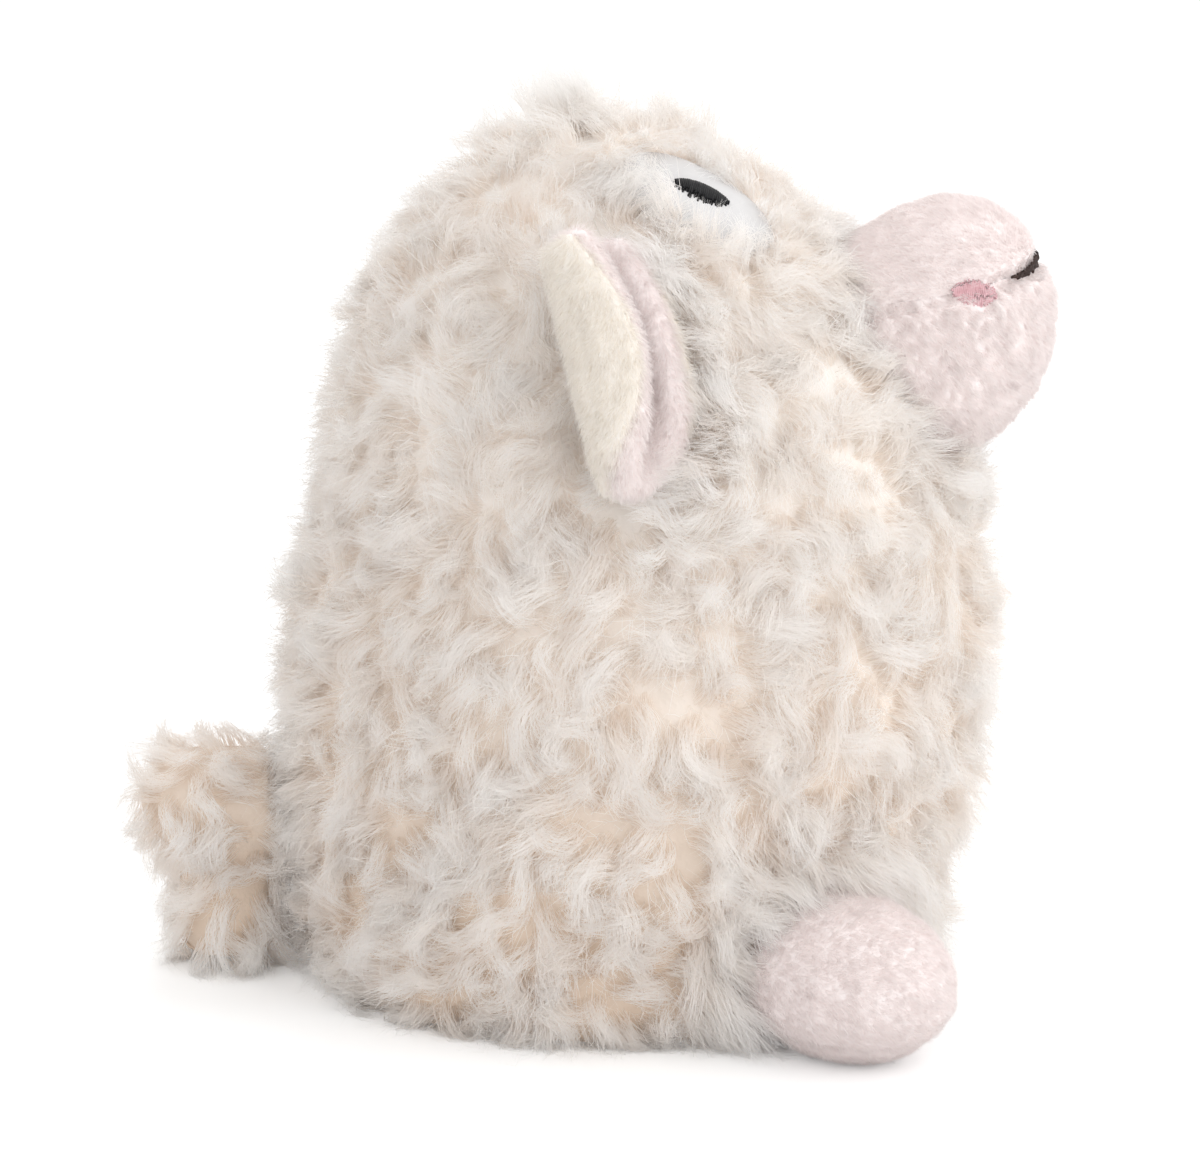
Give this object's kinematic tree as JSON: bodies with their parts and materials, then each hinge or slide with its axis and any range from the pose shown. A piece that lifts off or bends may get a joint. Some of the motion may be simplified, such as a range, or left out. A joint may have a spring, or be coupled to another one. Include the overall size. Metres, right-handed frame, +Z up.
{
  "type": "reversible plush toy",
  "caption": "Sitting reversible plush animal, curly sheep side out and grey wolf side lining its pocket, with soft hinged ears, feet and tail.",
  "frame": {"origin": "on the floor, under the middle of the whole toy's box", "axes": "+X the way the sheep faces, +Y its left, +Z up"},
  "size_m": [0.201, 0.161, 0.191],
  "materials": {
    "curly_plush": "matte",
    "cream_plush": "matte",
    "pink_plush": "matte",
    "white_plush": "matte",
    "black_thread": "satin",
    "brown_thread": "satin",
    "pink_thread": "satin",
    "grey_plush": "matte",
    "pale_grey_plush": "matte",
    "fibre_filling": "matte"
  },
  "bodies": {
    "body": {"sheep_back_panel": "curly_plush", "sheep_front_panel": "curly_plush", "body_stuffing": "fibre_filling", "wolf_lining": "grey_plush", "eye_white_left": "white_plush", "eye_white_right": "white_plush", "pupil_left": "black_thread", "pupil_right": "black_thread", "muzzle_upper_panel": "pink_plush", "muzzle_lower_panel": "pink_plush", "muzzle_stuffing": "fibre_filling", "mouth_stitching": "brown_thread", "cheek_spot_left": "pink_thread", "cheek_spot_right": "pink_thread", "wolf_muzzle": "pale_grey_plush", "wolf_nose": "black_thread", "wolf_eye_white_left": "white_plush", "wolf_eye_white_right": "white_plush", "wolf_pupil_left": "black_thread", "wolf_pupil_right": "black_thread"},
    "ear_left": {"ear_left_back": "cream_plush", "ear_left_lining": "pink_plush"},
    "ear_right": {"ear_right_back": "cream_plush", "ear_right_lining": "pink_plush"},
    "foot_left": {"foot_left_upper": "pink_plush", "foot_left_sole": "pink_plush", "foot_left_stuffing": "fibre_filling"},
    "foot_right": {"foot_right_upper": "pink_plush", "foot_right_sole": "pink_plush", "foot_right_stuffing": "fibre_filling"},
    "tail": {"tail_skin": "curly_plush", "tail_stuffing": "fibre_filling"},
    "wolf_ear_left": {"wolf_ear_left_back": "grey_plush", "wolf_ear_left_lining": "pale_grey_plush"},
    "wolf_ear_right": {"wolf_ear_right_back": "grey_plush", "wolf_ear_right_lining": "pale_grey_plush"},
    "wolf_paw_left": {"wolf_paw_left": "grey_plush"},
    "wolf_paw_right": {"wolf_paw_right": "grey_plush"},
    "wolf_tail": {"wolf_tail": "grey_plush"}
  },
  "joints": [
    {"name": "ear_left_flop", "type": "hinge", "parent": "body", "child": "ear_left", "pos_m": [0.003, 0.044, 0.1675], "axis": [1, 0, 0], "range_deg": [0, 80], "stiffness_Nm_per_rad": 0.0008},
    {"name": "ear_right_flop", "type": "hinge", "parent": "body", "child": "ear_right", "pos_m": [0.003, -0.044, 0.1675], "axis": [-1, 0, 0], "range_deg": [0, 80], "stiffness_Nm_per_rad": 0.0008},
    {"name": "foot_left_flex", "type": "hinge", "parent": "body", "child": "foot_left", "pos_m": [0.052, 0.054, 0.034], "axis": [0.8, -0.6, 0], "range_deg": [0, 40], "stiffness_Nm_per_rad": 0.02},
    {"name": "foot_right_flex", "type": "hinge", "parent": "body", "child": "foot_right", "pos_m": [0.052, -0.054, 0.034], "axis": [-0.8, -0.6, 0], "range_deg": [0, 40], "stiffness_Nm_per_rad": 0.02},
    {"name": "tail_lift", "type": "hinge", "parent": "body", "child": "tail", "pos_m": [-0.0645, 0, 0.05], "axis": [0, 1, 0], "range_deg": [0, 65], "stiffness_Nm_per_rad": 0.01},
    {"name": "wolf_ear_left_fold", "type": "hinge", "parent": "body", "child": "wolf_ear_left", "pos_m": [0.006, 0.0234, 0.1], "axis": [-1, 0, 0], "range_deg": [0, 30], "stiffness_Nm_per_rad": 0.0003},
    {"name": "wolf_ear_right_fold", "type": "hinge", "parent": "body", "child": "wolf_ear_right", "pos_m": [0.006, -0.0234, 0.1], "axis": [1, 0, 0], "range_deg": [0, 30], "stiffness_Nm_per_rad": 0.0003},
    {"name": "wolf_paw_left_flex", "type": "hinge", "parent": "body", "child": "wolf_paw_left", "pos_m": [0.042, 0.015, 0.014], "axis": [0, -1, 0], "range_deg": [0, 30], "stiffness_Nm_per_rad": 0.002},
    {"name": "wolf_paw_right_flex", "type": "hinge", "parent": "body", "child": "wolf_paw_right", "pos_m": [0.042, -0.015, 0.014], "axis": [0, -1, 0], "range_deg": [0, 30], "stiffness_Nm_per_rad": 0.002},
    {"name": "wolf_tail_swing", "type": "hinge", "parent": "body", "child": "wolf_tail", "pos_m": [-0.031, 0, 0.0095], "axis": [0, 1, 0], "range_deg": [0, 45], "stiffness_Nm_per_rad": 0.002}
  ]
}
